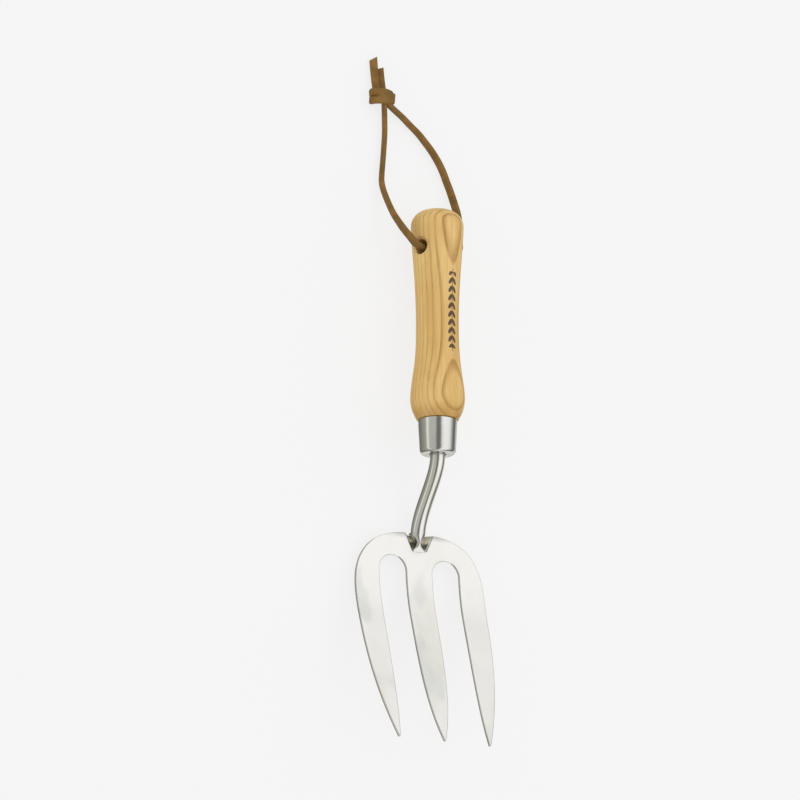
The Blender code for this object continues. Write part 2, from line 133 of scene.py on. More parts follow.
WALL_SCORES = (-0.0009, -0.0006, -0.0003, 0, 0.0003, 0.0006)
HEAD_TOP = HANDLE_LENGTH + FERRULE_LENGTH + HEAD_DROP
FOOT_DEPTH = HEAD_SET_BACK + HEAD_THICKNESS / 2
TROUGH_DEPTH = HEAD_THICKNESS + NECK_RADIUS + GAP

# Foot: the stem's end, in the trough
RIDGE_HALF_WIDTH = 0.0014  # of the foot where it is narrowest
RIDGE_AT = 0.52  # share of the trough's length
FOOT_END_HALF_WIDTH = TROUGH_FLOOR - 0.0004
FOOT_REACH = 0.985  # share of the trough's length
FOOT_STEPS = 26
FOOT_PROUD = 0.0002  # of the plate's front, at its end
FOOT_CLEAR = 0.0001  # of the trough's floor
FOOT_LEAST_HALF_HEIGHT = 0.0004

# Weld
WELD_LEG = 0.0012
WELD_SPREAD = radians(75)
WELD_RIPPLES = 13
RIPPLE_STEPS = 6
RIPPLE_HEIGHT = 0.10
WELD_BOW = 0.9  # how far the fillet's face bulges
WELD_BOW_STEPS = 10

# Thong: a flat leather lace. Places are (x, y from the hole's middle; z above the floor).
LACE_WIDTH = 0.0050
LACE_THICKNESS = 0.0029
LACE_SIDES = 24
LACE_CORNER_POWER = 4.2
LEFT_STRAND = (
    (-0.0003, 0.0000, 0.0170),
    (-0.0067, 0.0001, 0.0188),
    (-0.0135, 0.0003, 0.0208),
    (-0.0175, 0.0018, 0.0210),
    (-0.0202, 0.0050, 0.0200),
    (-0.0232, 0.0096, 0.0175),
    (-0.0256, 0.0149, 0.0142),
    (-0.0275, 0.0201, 0.0110),
    (-0.0289, 0.0253, 0.0084),
    (-0.0302, 0.0304, 0.0062),
    (-0.0314, 0.0355, 0.0044),
    (-0.0321, 0.0406, 0.0031),
    (-0.0321, 0.0457, 0.0028),
    (-0.0318, 0.0508, 0.0027),
    (-0.0314, 0.0608, 0.0027),
    (-0.0312, 0.0708, 0.0027),
    (-0.0317, 0.0790, 0.0029),
    (-0.0325, 0.0857, 0.0035),
)
RIGHT_STRAND = (
    (0.0003, 0.0000, 0.0168),
    (0.0067, 0.0000, 0.0150),
    (0.0126, 0.0005, 0.0134),
    (0.0168, 0.0023, 0.0121),
    (0.0197, 0.0055, 0.0100),
    (0.0210, 0.0098, 0.0078),
    (0.0214, 0.0150, 0.0061),
    (0.0213, 0.0205, 0.0052),
    (0.0208, 0.0249, 0.0048),
    (0.0199, 0.0291, 0.0045),
    (0.0182, 0.0337, 0.0044),
    (0.0165, 0.0385, 0.0039),
    (0.0147, 0.0433, 0.0034),
    (0.0126, 0.0480, 0.0030),
    (0.0105, 0.0527, 0.0028),
    (0.0079, 0.0573, 0.0027),
    (0.0046, 0.0618, 0.0027),
    (0.0008, 0.0662, 0.0027),
    (-0.0037, 0.0706, 0.0027),
    (-0.0082, 0.0747, 0.0027),
    (-0.0139, 0.0787, 0.0028),
    (-0.0194, 0.0825, 0.0032),
    (-0.0257, 0.0861, 0.0038),
)
LONG_TAIL = ((-0.0388, 0.0987, 0.0034), (-0.0399, 0.1075, 0.0026), (-0.0409, 0.1160, 0.0023))
SHORT_TAIL = ((-0.0344, 0.0987, 0.0034), (-0.0353, 0.1048, 0.0030), (-0.0360, 0.1105, 0.0028))
# Where each of the four lengths ends inside the knot
LEFT_IN_KNOT = (-0.0334, 0.0905, 0.0044)
LONG_IN_KNOT = (-0.0378, 0.0945, 0.0042)
SHORT_IN_KNOT = (-0.0340, 0.0945, 0.0040)
RIGHT_IN_KNOT = (-0.0316, 0.0894, 0.0046)
# How far the lace is turned about its own run, by share of its length. At 0 its width is upright.
LEFT_LEANS = ((0, 0.0), (0.16, radians(6)), (0.45, radians(-16)), (1, radians(-18)))
RIGHT_LEANS = (
    (0, 0.0),
    (0.12, radians(-22)),
    (0.20, radians(-26)),
    (0.27, radians(-16)),
    (0.37, radians(12)),
    (0.60, radians(4)),
    (1, radians(-10)),
)
# Lean, width and slant of the cut of each free end
LONG_TAIL_SHAPE = (radians(78), 0.0047, 0.0012)
SHORT_TAIL_SHAPE = (radians(66), 0.0039, 0.0004)
TAIL_STEPS = 22
KNOT_AT = (-0.0348, 0.0923)
KNOT_HALF_WIDTH = 0.0092
KNOT_HALF_HEIGHT = 0.0044
KNOT_CLEAR = 0.0002  # inside its half width, and above the floor
WRAP_START = radians(205)
WRAP_STEPS = 96
WRAP_RISE = 0.0031  # of each turn to its side of the knot's middle
WRAP_THICKNESS = LACE_THICKNESS * 0.92

# How the tool lies, from the record
butt = frame["record"]["mounts"][0]
LAID = Matrix.Translation(butt["pos_m"]) @ Matrix.Rotation(
    atan2(butt["axis"][2], butt["axis"][1]), 4, "X"
)
hinge = frame["joints"][0]
HOLE = Vector(hinge["pos_m"])

# Camera
CAMERA_AT = (-1.2135, -0.4619, 2.1258)
CAMERA_RIGHT = (0.8660254, 0.0379543, 0.4985574)
CAMERA_UP = (-0.1339555, 0.9782761, 0.1582147)
CAMERA_BACK = (-0.4817218, -0.2038025, 0.8522961)
LENS = 188.8


# ---------------------------------------------------------------- modelling by hand


def deselect():
    if bpy.context.mode != "OBJECT":
        bpy.ops.object.mode_set(mode="OBJECT")
    bpy.ops.object.select_all(action="DESELECT")


def named(name):
    """Names the object that has just been added."""
    piece = bpy.context.active_object
    piece.name = name
    piece.data.name = name
    return piece


def choose(piece):
    deselect()
    piece.select_set(True)
    bpy.context.view_layer.objects.active = piece


def edit(piece, mode="VERT"):
    choose(piece)
    bpy.ops.object.mode_set(mode="EDIT")
    bpy.ops.mesh.select_mode(type=mode)
    bpy.ops.mesh.select_all(action="SELECT")


def leave_edit():
    bpy.ops.object.mode_set(mode="OBJECT")


def face_outwards(piece):
    edit(piece)
    bpy.ops.mesh.remove_doubles(threshold=MERGE)
    bpy.ops.mesh.normals_make_consistent(inside=False)
    leave_edit()


def drawn_line(name, points):
    """A line through points, drawn corner by corner: the start of a turned piece."""
    deselect()
    bpy.ops.mesh.primitive_plane_add(size=0.01)
    piece = named(name)
    edit(piece)
    bpy.ops.mesh.merge(type="CENTER")
    bpy.ops.transform.translate(value=points[0])
    for here, there in zip(points, points[1:]):
        step = Vector(there) - Vector(here)
        bpy.ops.mesh.extrude_vertices_move(TRANSFORM_OT_translate={"value": step})
    leave_edit()
    return piece


def turned(name, profile, closed=False):
    """A piece turned round the handle's axis from (station, radius) pairs."""
    points = [(radius, -station, 0) for station, radius in profile]
    if closed:
        points.append(points[0])
    piece = drawn_line(name, points)
    edit(piece)
    bpy.ops.mesh.spin(steps=TURNED_SIDES, angle=2 * pi, center=(0, 0, 0), axis=(0, 1, 0))
    leave_edit()
    face_outwards(piece)
    return piece


def drawn_out(name, rings):
    """A closed tube: a disc is drawn out ring by ring, and each ring then takes its own shape."""
    sides = len(rings[0])
    deselect()
    bpy.ops.mesh.primitive_circle_add(vertices=sides, radius=1, fill_type="NGON")
    piece = named(name)
    edit(piece, "FACE")
    for _ in rings[1:]:
        bpy.ops.mesh.extrude_region_move(TRANSFORM_OT_translate={"value": (0, 0, 1)})
    leave_edit()
    for vert in piece.data.vertices:
        turn = atan2(vert.co.y, vert.co.x) / (2 * pi)
        vert.co = rings[round(vert.co.z)][round(turn * sides) % sides]
    face_outwards(piece)
    return piece


def apply_all(piece):
    choose(piece)
    for modifier in list(piece.modifiers):
        bpy.ops.object.modifier_apply(modifier=modifier.name)


def smooth(piece, angle=radians(40)):
    choose(piece)
    bpy.ops.object.shade_smooth_by_angle(angle=angle)


def coat(piece, finish):
    """Gives a piece one finish all over."""
    piece.data.materials.clear()
    piece.data.materials.append(finish)


def finished(piece, finish, body, slot, *nodes):
    """Gives a piece its finish and its body, and hides the plain solids it stands for."""
    coat(piece, finish)
    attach(piece, body)
    if nodes:
        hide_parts(*nodes)
    return piece


def arc(middle, radius, start, end, steps):
    turns = [start + (end - start) * step / steps for step in range(steps + 1)]
    return [(middle[0] + radius * cos(turn), middle[1] + radius * sin(turn)) for turn in turns]


def smooth_through(places, count):
    """Points of a smooth curve through a list of places (Catmull-Rom)."""
    places = [Vector(place) for place in places]
    ends = [2 * places[0] - places[1]] + places + [2 * places[-1] - places[-2]]
    points = []
    for step in range(count):
        run = (len(places) - 1) * step / (count - 1)
        span = min(int(run), len(places) - 2)
        t = run - span
        before, start, end, after = ends[span : span + 4]
        points.append(
            start
            + (end - before) * (t / 2)
            + (before * 2 - start * 5 + end * 4 - after) * (t * t / 2)
            + (start * 3 - before - end * 3 + after) * (t**3 / 2)
        )
    return points


def between(stops, share):
    """The value at a share of the way, from (share, value) stops joined by eased runs."""
    for (start, low), (end, high) in zip(stops, stops[1:]):
        if share <= end:
            t = max(0.0, (share - start) / (end - start))
            return low + (high - low) * (0.5 - 0.5 * cos(pi * t))
    return stops[-1][1]


# ---------------------------------------------------------------- shader maths


class Field:
    """A value that changes over a surface. Arithmetic on it adds the maths nodes."""

    def __init__(self, tree, socket):
        self.tree = tree
        self.socket = socket

    def maths(self, operation, *values):
        node = self.tree.nodes.new("ShaderNodeMath")
        node.operation = operation
        for place, value in enumerate(values):
            if isinstance(value, Field):
                self.tree.links.new(value.socket, node.inputs[place])
            else:
                node.inputs[place].default_value = value
        return Field(self.tree, node.outputs[0])

    def __add__(self, other):
        return self.maths("ADD", self, other)

    __radd__ = __add__

    def __mul__(self, other):
        return self.maths("MULTIPLY", self, other)

    __rmul__ = __mul__

    def __sub__(self, other):
        return self.maths("SUBTRACT", self, other)

    def __rsub__(self, other):
        return self.maths("SUBTRACT", other, self)

    def __truediv__(self, other):
        return self.maths("DIVIDE", self, other)

    def __pow__(self, other):
        return self.maths("POWER", self, other)

    def __lt__(self, other):
        return self.maths("LESS_THAN", self, other)

    def cycle(self):
        return self.maths("FRACT", self)

    def size(self):
        return self.maths("ABSOLUTE", self)

    def root(self):
        return self.maths("SQRT", self)

    def at_least(self, other):
        return self.maths("MAXIMUM", self, other)


class Pattern:
    """A node tree whose nodes are added as expressions."""

    def __init__(self, tree):
        self.tree = tree

    def add(self, kind, settings, inputs, output=0):
        """A node of a type, its settings, and the values or links of its sockets."""
        node = self.tree.nodes.new(kind)
        for name, value in settings.items():
            if name == "stops":
                ramp = node.color_ramp
                while len(ramp.elements) < len(value):
                    ramp.elements.new(0.5)
                for element, (place, colour) in zip(ramp.elements, value):
                    element.position = place
                    element.color = (*colour, 1.0)
            else:
                setattr(node, name, value)
        for name, value in inputs.items():
            self.put(node.inputs[name], value)
        return Field(self.tree, node.outputs[output])

    def put(self, socket, value):
        if isinstance(value, Field):
            self.tree.links.new(value.socket, socket)
        else:
            socket.default_value = value

    def place(self):
        return self.add("ShaderNodeTexCoord", {}, {}, "Object")

    def mapped(self, vector, move=(0, 0, 0), turn=(0, 0, 0), scale=(1, 1, 1)):
        inputs = {"Vector": vector, "Location": move, "Rotation": turn, "Scale": scale}
        return self.add("ShaderNodeMapping", {"vector_type": "POINT"}, inputs)

    def parts(self, vector):
        node = self.tree.nodes.new("ShaderNodeSeparateXYZ")
        self.put(node.inputs[0], vector)
        return [Field(self.tree, socket) for socket in node.outputs]

    def noise(self, vector, scale, detail, roughness):
        inputs = {"Vector": vector, "Scale": scale, "Detail": detail, "Roughness": roughness}
        return self.add("ShaderNodeTexNoise", {}, inputs, "Fac")

    def ramp(self, value, *stops):
        """Colours along a value; a stop is (place, colour)."""
        return self.add("ShaderNodeValToRGB", {"stops": stops}, {"Fac": value})

    def smoothstep(self, value, low, high):
        settings = {"interpolation_type": "SMOOTHSTEP", "clamp": True}
        inputs = {"Value": value, "From Min": low, "From Max": high}
        return self.add("ShaderNodeMapRange", settings, inputs)

    def blend(self, share, first, second):
        node = self.tree.nodes.new("ShaderNodeMix")
        node.data_type = "RGBA"
        self.put(node.inputs["Factor"], share)
        # A Mix node's two colour inputs and its colour output are told apart by number only.
        for place, colour in ((6, first), (7, second)):
            if isinstance(colour, Field):
                self.tree.links.new(colour.socket, node.inputs[place])
            else:
                node.inputs[place].default_value = (*colour, 1.0)
        return Field(self.tree, node.outputs[2])

    def bump(self, height, distance, strength, after=None):
        inputs = {"Height": height, "Distance": distance, "Strength": strength}
        if after:
            inputs["Normal"] = after
        return self.add("ShaderNodeBump", {}, inputs)


class Finish(Pattern):
    """A material, with the even values of its shader; give() adds what changes over it."""

    def __init__(self, name, **settings):
        self.material = bpy.data.materials.new(name)
        self.material.use_nodes = True
        super().__init__(self.material.node_tree)
        self.shader = self.tree.nodes["Principled BSDF"]
        for socket, value in settings.items():
            self.shader.inputs[socket.replace("_", " ")].default_value = value

    def give(self, **outputs):
        for name, value in outputs.items():
            self.put(self.shader.inputs[name.replace("_", " ")], value)
        return self.material


# ---------------------------------------------------------------- finishes


def tool_frame(finish):
    """Object coordinates turned back into the tool's own frame."""
    place, turn, _ = LAID.inverted().decompose()
    return finish.mapped(finish.place(), tuple(place), tuple(turn.to_euler()))


ASH_LIGHT = (0.800, 0.545, 0.205)
ASH_WARM = (0.625, 0.372, 0.090)
ASH_DARK = (0.385, 0.185, 0.028)
ASH_PORE = (0.300, 0.150, 0.030)
BURNT_BROWN = (0.045, 0.016, 0.012)
SPRIG_AT = 0.0640  # middle of the leaf sprig, from the butt
SPRIG_LENGTH = 0.0510
SPRIG_DIRECTION = radians(12)
LEAF_SPACING = 0.0051
LEAF_OUT = 0.0014
LEAF_HALF_LENGTH = 0.0024
LEAF_HALF_WIDTH = 0.00105
LEAF_TURN = radians(30)
RING_SPACING = 0.0026
PITH_DIRECTION = radians(8)  # round the handle, from the top towards +X
PITH_DISTANCE = 0.0509


def leaf_sprig(wood, x, y, z):
    """A plain sprig of paired leaves burnt into the handle, as a mask."""
    run = y * -1 - SPRIG_AT
    beside = x * cos(SPRIG_DIRECTION) - z * sin(SPRIG_DIRECTION)
    under = x * sin(SPRIG_DIRECTION) + z * cos(SPRIG_DIRECTION) < 0
    beside = beside.size() + 100 * under  # so that the handle's lower side has no sprig
    stem = (1 - wood.smoothstep(beside, 0.00016, 0.00032)) * (run.size() < SPRIG_LENGTH / 2)
    leaf_run = ((run / LEAF_SPACING).cycle() - 0.5) * LEAF_SPACING
    leaf_beside = beside - LEAF_OUT
    lengthwise = leaf_run * cos(LEAF_TURN) + leaf_beside * sin(LEAF_TURN)
    widthwise = leaf_beside * cos(LEAF_TURN) - leaf_run * sin(LEAF_TURN)
    leaf = (lengthwise / LEAF_HALF_LENGTH) ** 2 + (widthwise / LEAF_HALF_WIDTH) ** 2
    leaf = (1 - wood.smoothstep(leaf, 0.80, 1.15)) * (run.size() < SPRIG_LENGTH / 2 - 0.002)
    return stem.at_least(leaf)


def ash():
    """Turned ash: growth rings round a far pith, with an open-pored early band in each."""
    wood = Finish("turned_ash", Roughness=0.42, Coat_Weight=0.12, Coat_Roughness=0.25)
    here = tool_frame(wood)
    x, y, z = wood.parts(here)
    slow = wood.noise(wood.mapped(here, scale=(1, 0.16, 1)), 34, 1.5, 0.45)
    broad = wood.noise(wood.mapped(here, scale=(1, 0.45, 1)), 17, 1.0, 0.4)
    wander = (slow - 0.5) * 0.0024 + (broad - 0.5) * 0.0034
    pith_x = -PITH_DISTANCE * sin(PITH_DIRECTION)
    pith_z = -PITH_DISTANCE * cos(PITH_DIRECTION)
    radius = ((x - pith_x) ** 2 + (z - pith_z) ** 2).root() + wander
    ring = (radius / RING_SPACING).cycle()
    early = wood.smoothstep(ring, 0.0, 0.10) * (1 - wood.smoothstep(ring, 0.10, 0.52))
    streak = wood.noise(wood.mapped(here, scale=(1, 0.028, 1)), 1900, 2.0, 0.6)
    fibre = wood.noise(wood.mapped(here, scale=(1, 0.035, 1)), 560, 3.0, 0.6)
    tone = wood.noise(wood.mapped(here, scale=(1, 0.22, 1)), 75, 2.0, 0.5)
    pores = wood.smoothstep(streak, 0.56, 0.66) * early
    colour = wood.blend(wood.smoothstep(tone, 0.34, 0.66) * 0.75, ASH_LIGHT, ASH_WARM)
    colour = wood.blend(wood.smoothstep(fibre, 0.42, 0.66) * 0.45, colour, ASH_WARM)
    lined = wood.noise(wood.mapped(here, (4, 2, 7), scale=(1, 0.10, 1)), 230, 2.0, 0.6)
    flat_sawn = wood.smoothstep(x, -0.013, -0.003)
    line = early * (0.15 + 1.15 * lined) * (0.45 + 0.55 * flat_sawn)
    colour = wood.blend(line, colour, ASH_DARK)
    colour = wood.blend(pores * 0.55, colour, ASH_PORE)
    butt_side = y + HOLE_AT
    beside = x * sin(HANDLE_TURN) + z * cos(HANDLE_TURN)
    from_hole_middle = (butt_side**2 + beside**2).root()
    # Painted shade: darker inside the hanging hole and on the butt side of its rounded rim, on the -X half.
    hole_shade = (1 - wood.smoothstep(from_hole_middle, 0.0042, 0.0074)) * (x < 0)
    hole_shade = hole_shade * wood.smoothstep(butt_side, -0.003, 0.003)
    colour = wood.blend(hole_shade * (0.35 + 0.6 * fibre), colour, ASH_DARK)
    # Darker towards the ferrule's rim: painted shade where the wood meets the ferrule, with some grime.
    rim_shade_and_grime = wood.smoothstep(y * -1, HANDLE_LENGTH - 0.010, HANDLE_LENGTH)
    colour = wood.blend(rim_shade_and_grime * (0.25 + 0.6 * tone), colour, ASH_DARK)
    colour = wood.blend(leaf_sprig(wood, x, y, z) * (0.82 + 0.18 * fibre), colour, BURNT_BROWN)
    height = streak * 0.35 + fibre * 0.4 - early * 0.6 - pores * 0.5
    return wood.give(
        Base_Color=colour,
        Roughness=0.40 + fibre * 0.14 + early * 0.06,
        Normal=wood.bump(height, 0.00006, 0.6),
    )


STEEL_BRIGHT = (0.900, 0.890, 0.865)
STEEL_CREAM = (0.830, 0.815, 0.735)
STEEL_GREY = (0.760, 0.762, 0.745)
STEEL_STRAW = (0.760, 0.720, 0.530)  # the tint that welding heat leaves
# Dark colour of the painted shade in the trough's pit and along the head's top edge.
PAINTED_STEEL_SHADE = (0.045, 0.042, 0.036)


def polished_steel(name, heat_tint_and_shade=0.0):
    """Hand-polished steel: a nearly even mirror with faint clouding and fine buffing lines."""
    steel = Finish(name, Metallic=1.0, Roughness=0.16, Specular_Tint=(0.62, 0.62, 0.60, 1.0))
    here = tool_frame(steel)
    x, y, z = steel.parts(here)
    cloud = steel.noise(steel.mapped(here, scale=(1, 0.55, 1)), 42, 2.0, 0.5)
    warm = steel.noise(steel.mapped(here, (3, 1, 2), scale=(1, 0.45, 1)), 30, 2.0, 0.5)
    buff = steel.noise(steel.mapped(here, scale=(1, 0.04, 1)), 2600, 2.0, 0.6)
    swell = steel.noise(here, 60, 1.0, 0.4)
    colour = steel.blend(steel.smoothstep(warm, 0.47, 0.62) * 0.8, STEEL_BRIGHT, STEEL_CREAM)
    colour = steel.blend(steel.smoothstep(cloud, 0.52, 0.66) * 0.8, colour, STEEL_GREY)
    along = -HEAD_TOP - y
    sunk = steel.smoothstep(HEAD_THICKNESS / 2 - HEAD_SET_BACK - z, 0.0003, 0.0016)
    at_foot = steel.smoothstep(along, -0.0030, -0.0005)
    at_foot = at_foot * (1 - steel.smoothstep(along, 0.010, 0.016))
    scaled = sunk * at_foot * heat_tint_and_shade  # where the heat left scale in the trough
    colour = steel.blend(scaled * 0.85, colour, STEEL_STRAW)
    # Painted shade and dark reflection in the trough's pit: its lower part is darkened nearly to black, with a
    # wavering edge.
    pit_shade_wobble = steel.noise(here, 380, 2.0, 0.6)
    pit_shade = scaled * steel.smoothstep(along + (pit_shade_wobble - 0.5) * 0.004, 0.0036, 0.0058)
    colour = steel.blend(pit_shade * 0.92, colour, PAINTED_STEEL_SHADE)
    # Painted shade along the head's rounded top edge beside the trough, clouded.
    top_edge_shade = (1 - steel.smoothstep(along, 0.0003, 0.0045)) * steel.smoothstep(along, -0.001, 0)
    top_edge_shade = top_edge_shade * (1 - steel.smoothstep(x.size(), 0.013, 0.027)) * heat_tint_and_shade
    colour = steel.blend(top_edge_shade * (0.10 + 0.7 * cloud), colour, PAINTED_STEEL_SHADE)
    swells = steel.bump(swell, 0.001, 0.25)
    return steel.give(
        Base_Color=colour,
        Roughness=0.13 + cloud * 0.10 + buff * 0.05 + scaled * 0.25,
        Metallic=1 - scaled * 0.8,
        Normal=steel.bump(buff, 0.00001, 0.35, swells),
    )


LEATHER_BROWN = (0.185, 0.092, 0.017)
LEATHER_TAN = (0.275, 0.140, 0.028)
LEATHER_OLIVE = (0.150, 0.097, 0.024)
LEATHER_WORN = (0.360, 0.215, 0.062)


def leather():
    """Oiled tan leather lace: mottled, finely creased, with paler rubbed places."""
    hide = Finish("oiled_leather", Specular_IOR_Level=0.3, Coat_Weight=0.04, Coat_Roughness=0.4)
    here = hide.place()
    mottle = hide.noise(here, 170, 3.0, 0.55)
    patch = hide.noise(hide.mapped(here, (5, 2, 1)), 60, 2.0, 0.5)
    grain = hide.noise(here, 2400, 3.0, 0.6)
    rub = hide.noise(hide.mapped(here, (1, 7, 3)), 420, 3.0, 0.6)
    crease = hide.add(
        "ShaderNodeTexVoronoi",
        {"feature": "DISTANCE_TO_EDGE"},
        {"Vector": here, "Scale": 1300},
        "Distance",
    )
    creased = 1 - hide.smoothstep(crease, 0.0, 0.12)
    colour = hide.blend(hide.smoothstep(mottle, 0.32, 0.68), LEATHER_BROWN, LEATHER_TAN)
    colour = hide.blend(hide.smoothstep(patch, 0.48, 0.70) * 0.6, colour, LEATHER_OLIVE)
    colour = hide.blend(hide.smoothstep(rub, 0.60, 0.78) * 0.35, colour, LEATHER_WORN)
    colour = hide.blend(creased * 0.25, colour, LEATHER_OLIVE)
    return hide.give(
        Base_Color=colour,
        Roughness=0.52 + grain * 0.22,
        Normal=hide.bump(grain * 0.5 - creased * 0.5, 0.00008, 0.7),
    )


def resin():
    """Set epoxy, amber and slightly cloudy."""
    glue = Finish("set_resin", Roughness=0.32)
    cloud = glue.noise(glue.place(), 260, 3.0, 0.55)
    colour = glue.blend(cloud, (0.46, 0.33, 0.14), (0.62, 0.50, 0.28))
    return glue.give(Base_Color=colour, Normal=glue.bump(cloud, 0.0001, 0.4))


# ---------------------------------------------------------------- handle


def handle_swell(station):
    """The turned radius between the butt's corner and the ferrule's rim."""
    full = BUTT_FLAT_RADIUS + BUTT_CORNER
    if station < WAIST_AT:
        share = (station - BUTT_CORNER) / (WAIST_AT - BUTT_CORNER)
        ease = 0.5 - 0.5 * cos(pi * share**BUTT_SKEW)
        return full + (WAIST_RADIUS - full) * ease
    if station < PALM_AT:
        share = (station - WAIST_AT) / (PALM_AT - WAIST_AT)
        ease = 0.5 - 0.5 * cos(pi * share**PALM_SKEW)
        return WAIST_RADIUS + (PALM_RADIUS - WAIST_RADIUS) * ease
    share = (station - PALM_AT) / (HANDLE_LENGTH - PALM_AT)
    return PALM_RADIUS + (SHOULDER_RADIUS - PALM_RADIUS) * share**2


def ferrule_outside(station):
    share = (station - HANDLE_LENGTH) / FERRULE_LENGTH
    return FERRULE_RIM_RADIUS + (FERRULE_END_RADIUS - FERRULE_RIM_RADIUS) * share


def handle_profile():
    corner = (BUTT_CORNER, BUTT_FLAT_RADIUS)
    profile = [(0, 0), (0, BUTT_FLAT_RADIUS / 2)]
    profile += arc(corner, BUTT_CORNER, pi, pi / 2, 16)
    run = HANDLE_LENGTH - SHOULDER_ROUND - BUTT_CORNER
    stations = [BUTT_CORNER + run * step / SWELL_STEPS for step in range(1, SWELL_STEPS + 1)]
    profile += [(station, handle_swell(station)) for station in stations]
    shoulder = (HANDLE_LENGTH - SHOULDER_ROUND, profile[-1][1] - SHOULDER_ROUND)
    profile += arc(shoulder, SHOULDER_ROUND, pi / 2, 0, 4)[1:]
    spigot_end = HANDLE_LENGTH + SPIGOT_LENGTH
    for station in (HANDLE_LENGTH, spigot_end):
        profile.append((station, ferrule_outside(station) - FERRULE_WALL - GAP))
    bore_end = spigot_end - BORE_LENGTH
    return profile + [(spigot_end, BORE_RADIUS), (bore_end, BORE_RADIUS), (bore_end, 0)]


def hole_cutter():
    """A bar across the handle whose ends flare with the handle's curve, for an even round rim."""
    surface = handle_swell(HOLE_AT)
    rings = []
    for end in (-1, 1):
        rows = [(HOLE_RADIUS, -2 * HOLE_ROUND)]
        for step in range(HOLE_ROUND_STEPS + 1):
            turn = pi / 2 * step / HOLE_ROUND_STEPS
            above = HOLE_ROUND * (sin(turn) - 1) + HOLE_OVERCUT
            rows.append((HOLE_RADIUS + HOLE_ROUND * (1 - cos(turn)), above))
        rows.append((HOLE_RADIUS + HOLE_ROUND * 1.5, HOLE_ROUND))
        for radius, above in rows if end > 0 else rows[::-1]:
            ring = []
            for side in range(HOLE_SIDES):
                turn = 2 * pi * side / HOLE_SIDES
                sideways = radius * sin(turn)
                height = sqrt(surface**2 - sideways**2) + above
                ring.append(Vector((radius * cos(turn), sideways, end * height)))
            rings.append(ring)
    cutter = drawn_out("hole_cutter", rings)
    # The bar's own X runs along the handle and its Z along the hole.
    across = Matrix.Rotation(HANDLE_TURN, 4, "Y") @ Matrix.Rotation(pi / 2, 4, "Y")
    upright = Matrix(((0, 1, 0, 0), (1, 0, 0, 0), (0, 0, 1, 0), (0, 0, 0, 1)))
    cutter.data.transform(Matrix.Translation((0, -HOLE_AT, 0)) @ across @ upright)
    face_outwards(cutter)
    return cutter


def add_handle(wood):
    handle = turned("turned_handle", handle_profile())
    cutter = hole_cutter()
    boolean = handle.modifiers.new("hanging_hole", "BOOLEAN")
    boolean.operation = "DIFFERENCE"
    boolean.object = cutter
    apply_all(handle)
    bpy.data.objects.remove(cutter)
    handle.data.transform(LAID)
    smooth(handle, radians(32))
    return finished(handle, wood, "tool", "ash", "handle")


# ---------------------------------------------------------------- ferrule


def ferrule_profile():
    rim = HANDLE_LENGTH + GAP
    end = HANDLE_LENGTH + FERRULE_LENGTH
    corner_at = end - FERRULE_CORNER
    middle = (corner_at, ferrule_outside(corner_at) - FERRULE_CORNER)
    lip = (rim + FERRULE_LIP, ferrule_outside(rim) - FERRULE_LIP)
    outside = arc(lip, FERRULE_LIP, pi, pi / 2, 5)
    outside += [
        (station, ferrule_outside(station))
        for station in np.linspace(rim + 2 * FERRULE_LIP, corner_at - FERRULE_LIP, 8)
    ]
    outside += arc(middle, FERRULE_CORNER, pi / 2, 0, 14)
    hole_lip = (end - FERRULE_LIP, NECK_HOLE_RADIUS + FERRULE_LIP)
    outside += arc(hole_lip, FERRULE_LIP, 0, -pi / 2, 5)
    inside = [(end - FERRULE_WALL, NECK_HOLE_RADIUS)]
    inside += arc(middle, FERRULE_CORNER - FERRULE_WALL, 0, pi / 2, 8)
    inside += [(rim, ferrule_outside(rim) - FERRULE_WALL)]
    return outside + inside


def add_ferrule(steel):
    ferrule = turned("drawn_ferrule", ferrule_profile(), closed=True)
    ferrule.data.transform(LAID)
    smooth(ferrule)
    return finished(ferrule, steel, "tool", "polished_steel", "ferrule")


# ---------------------------------------------------------------- head


def soft_least(first, second, softness):
    """The lower of two values, with a round corner where they cross."""
    return 0.5 * (first + second - sqrt((first - second) ** 2 + 4 * softness**2))


def trough_depth(across, along):
    """How far the trough drops the plate at a place on its flat pattern."""
    floor = (1 - along / TROUGH_LENGTH) * TROUGH_DEPTH
    rise = TROUGH_DEPTH / (TROUGH_HALF_WIDTH - TROUGH_FLOOR)
    wall = floor + (TROUGH_FLOOR - abs(across)) * rise
    depth = soft_least(floor, wall, TROUGH_SOFTNESS)
    return 0.5 * (depth + sqrt(depth**2 + TROUGH_SOFTNESS**2))


def head_place(across, along, lift):
    """Where a place on the flat pattern goes, lift above the middle of the plate's thickness."""
    bend_length = BEND_RADIUS * TINE_SLOPE
    bent = min(max(along - CROWN_LENGTH, 0.0), bend_length)
    straight = max(along - CROWN_LENGTH - bend_length, 0.0)
    turn = bent / BEND_RADIUS
    down = min(along, CROWN_LENGTH) + BEND_RADIUS * sin(turn) + straight * cos(TINE_SLOPE)
    forward = BEND_RADIUS * (1 - cos(turn)) + straight * sin(TINE_SLOPE)
    if along < 2 * TROUGH_LENGTH:
        lift -= trough_depth(across, along)
    return Vector((
        across,
        -(HEAD_TOP + down) + lift * sin(turn),
        -HEAD_SET_BACK + forward + lift * cos(turn),
    ))


def tine_edge(start, across, end_across, power, steps):
    points = []
    for step in range(1, steps + 1):
        share = step / steps
        along = start + (HEAD_LENGTH - TIP_RADIUS - start) * share
        points.append((across + (end_across - across) * share**power, along))
    return points


